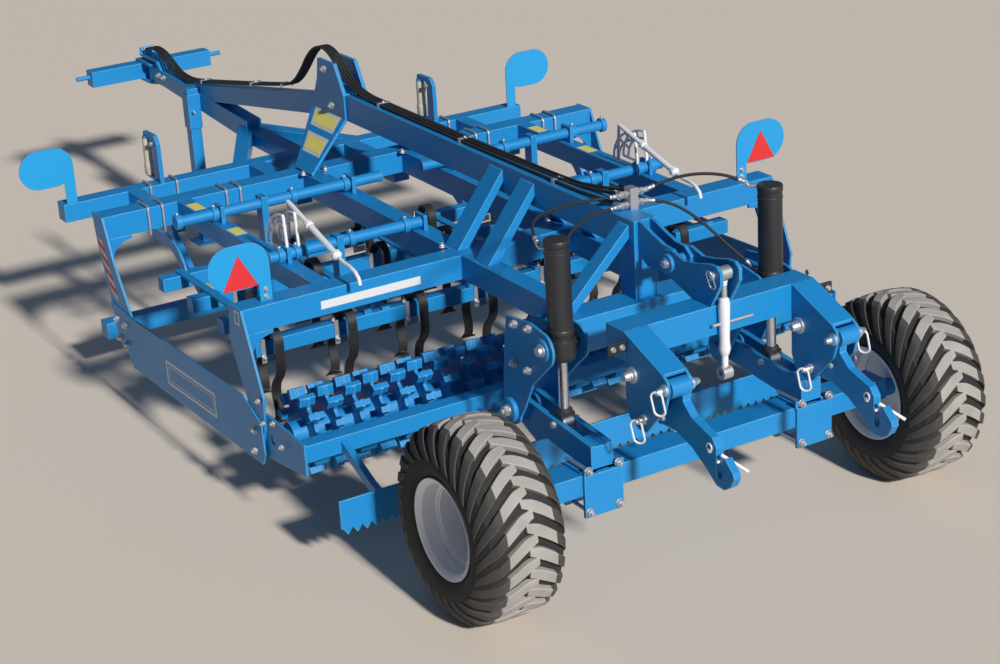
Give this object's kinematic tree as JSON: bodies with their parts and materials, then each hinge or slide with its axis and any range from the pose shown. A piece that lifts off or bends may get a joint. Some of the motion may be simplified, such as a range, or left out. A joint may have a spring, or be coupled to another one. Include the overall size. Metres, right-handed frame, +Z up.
{
  "type": "seedbed cultivator",
  "caption": "Trailed seedbed cultivator on a swinging transport axle, with spring tines, toothed roller, levelling boards, drawbar crossbar, parking stand and a rear seed drill hitch.",
  "frame": {"origin": "on the ground under the middle of the machine's outer box", "axes": "+X to the right, +Y forward towards the tractor, +Z up"},
  "size_m": [3.3198, 6.895, 1.5837],
  "materials": {
    "blue_paint": "gloss enamel, bright azure in the light",
    "tyre": "matt black rubber",
    "rim_silver": "silver paint",
    "chrome_rod": "hard chrome",
    "tine_steel": "black spring steel",
    "black_paint": "black satin paint",
    "hose_rubber": "black braided hydraulic hose",
    "plated_steel": "zinc plated"
  },
  "bodies": {
    "root": {"backbone": "blue_paint", "centre_rail_left": "blue_paint", "centre_rail_right": "blue_paint", "chassis_cheeks_left": "blue_paint", "chassis_cheeks_right": "blue_paint", "cross_tube": "blue_paint", "depth_shafts": "blue_paint", "drawbar": "blue_paint", "drill_hitch_beam": "blue_paint", "drill_link_left": "blue_paint", "drill_link_right": "blue_paint", "end_plates_left": "blue_paint", "end_plates_right": "blue_paint", "front_bar_arms": "blue_paint", "front_beam": "blue_paint", "front_levelling_bar": "blue_paint", "hitch_arm_left": "blue_paint", "hitch_arm_right": "blue_paint", "hitch_mast": "blue_paint", "lift_hoses_left": "hose_rubber", "lift_hoses_right": "hose_rubber", "marker_boards": "blue_paint", "middle_beam": "blue_paint", "rear_beam": "blue_paint", "rear_board_arms": "blue_paint", "rear_levelling_board": "blue_paint", "rear_pillar": "blue_paint", "roller_beam": "blue_paint", "roller_plates": "blue_paint", "side_panel_left": "blue_paint", "side_panel_right": "blue_paint", "side_rail_left": "blue_paint", "side_rail_right": "blue_paint", "spring_dampers": "blue_paint", "struts": "blue_paint", "supply_hoses": "hose_rubber", "tine_bars": "blue_paint", "tine_ties": "blue_paint", "tines_front": "tine_steel", "tines_rear": "tine_steel", "top_beam": "blue_paint", "top_link": "plated_steel", "tower": "blue_paint", "valve_block": "plated_steel"},
    "hitch_crossbar": {"hitch_crossbar": "blue_paint"},
    "axle": {"axle_beam": "blue_paint", "axle_arm_left": "blue_paint", "axle_arm_right": "blue_paint"},
    "wheel_left": {"tyre_left": "tyre", "rim_left": "rim_silver"},
    "wheel_right": {"tyre_right": "tyre", "rim_right": "rim_silver"},
    "barrel_left": {"cylinder_barrel_left": "black_paint"},
    "barrel_right": {"cylinder_barrel_right": "black_paint"},
    "rod_left": {"cylinder_rod_left": "chrome_rod"},
    "rod_right": {"cylinder_rod_right": "chrome_rod"},
    "roller": {"roller": "blue_paint"},
    "parking_stand": {"parking_stand": "blue_paint"}
  },
  "joints": [
    {"name": "crossbar_swivel", "type": "hinge", "parent": "root", "child": "hitch_crossbar", "pos_m": [0, 3.2625, 0.94], "axis": [0, 0, 1], "range_deg": [-50, 50]},
    {"name": "axle_lift", "type": "hinge", "parent": "root", "child": "axle", "pos_m": [0, -2.1525, 0.62], "axis": [-1, 0, 0], "range_deg": [0, 35]},
    {"name": "wheel_left_spin", "type": "hinge", "parent": "axle", "child": "wheel_left", "pos_m": [-1.12, -2.6445, 0.432], "axis": [1, 0, 0], "continuous": true},
    {"name": "wheel_right_spin", "type": "hinge", "parent": "axle", "child": "wheel_right", "pos_m": [1.12, -2.6445, 0.432], "axis": [1, 0, 0], "continuous": true},
    {"name": "roller_spin", "type": "hinge", "parent": "root", "child": "roller", "pos_m": [0, -1.4425, 0.45], "axis": [1, 0, 0], "continuous": true},
    {"name": "stand_slide", "type": "slide", "parent": "root", "child": "parking_stand", "axis": [0, 0, 1], "range_m": [0, 0.45]},
    {"name": "barrel_left_tilt", "type": "hinge", "parent": "root", "child": "barrel_left", "pos_m": [-0.555, -2.4325, 0.985], "axis": [1, 0, 0], "range_deg": [0, 14]},
    {"name": "rod_left_slide", "type": "slide", "parent": "barrel_left", "child": "rod_left", "axis": [0, 0, 1], "range_m": [0, 0.165]},
    {"name": "barrel_right_tilt", "type": "hinge", "parent": "root", "child": "barrel_right", "pos_m": [0.555, -2.4325, 0.985], "axis": [1, 0, 0], "range_deg": [0, 14]},
    {"name": "rod_right_slide", "type": "slide", "parent": "barrel_right", "child": "rod_right", "axis": [0, 0, 1], "range_m": [0, 0.165]}
  ],
  "couplings": [
    {"joint": "barrel_left_tilt", "follows": "axle_lift", "ratio": 0.3866},
    {"joint": "rod_left_slide", "follows": "axle_lift", "m_per_rad": 0.2616},
    {"joint": "barrel_right_tilt", "follows": "axle_lift", "ratio": 0.3866},
    {"joint": "rod_right_slide", "follows": "axle_lift", "m_per_rad": 0.2616}
  ]
}
